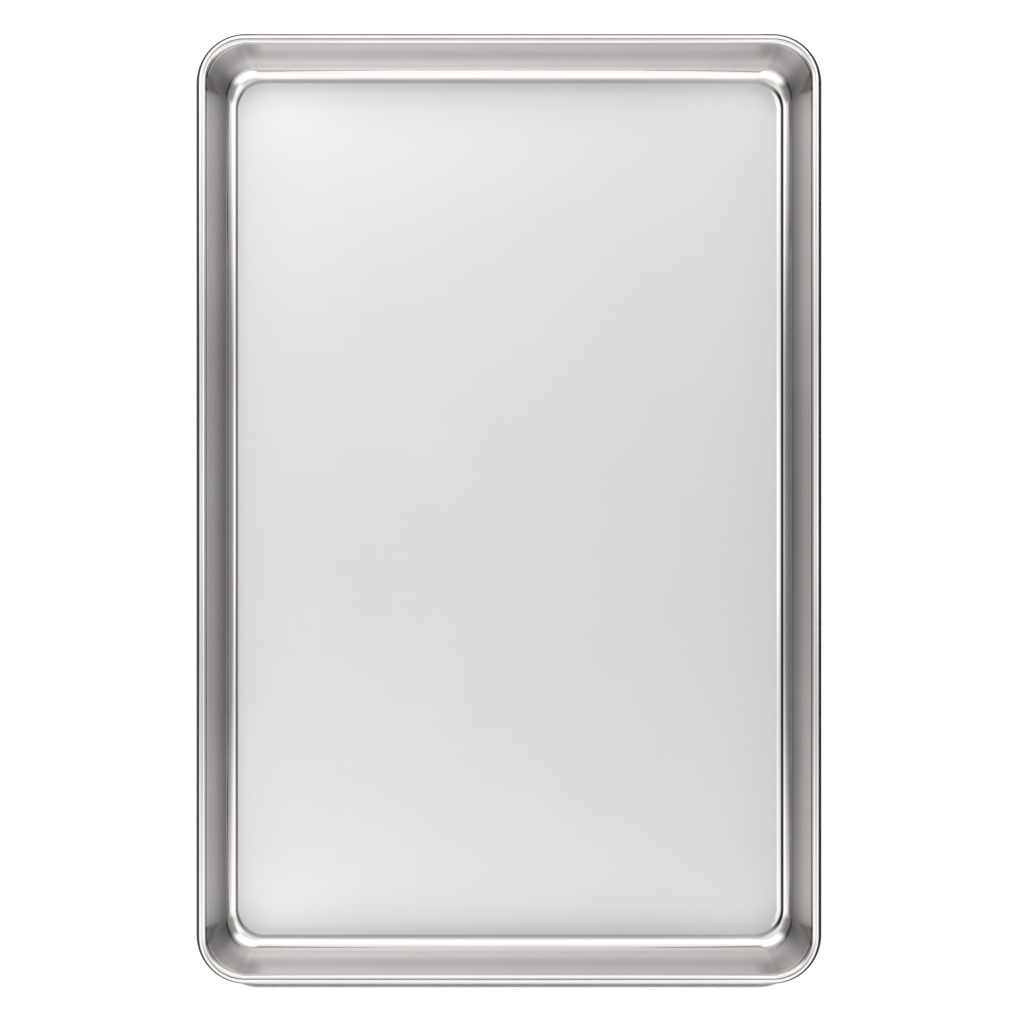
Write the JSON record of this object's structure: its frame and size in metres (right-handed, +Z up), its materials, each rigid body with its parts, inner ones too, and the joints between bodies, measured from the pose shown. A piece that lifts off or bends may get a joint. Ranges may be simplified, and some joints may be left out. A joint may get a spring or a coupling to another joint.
{
  "type": "sheet pan",
  "caption": "Shallow rectangular baking sheet with flared walls, rounded corners and a rolled rim stiffened by a hidden steel wire.",
  "frame": {"origin": "centre of the flat underside of the floor", "axes": "+Z up through the open side, +Y along the pan, +X across it"},
  "size_m": [0.395, 0.6, 0.025],
  "materials": {
    "drawn_aluminium": "satin floor, glossy drawn walls and rim",
    "galvanised_steel": "dull zinc-coated round wire"
  },
  "bodies": {
    "root": {"pan_body": "drawn_aluminium", "rim_wire": "galvanised_steel"}
  },
  "joints": []
}
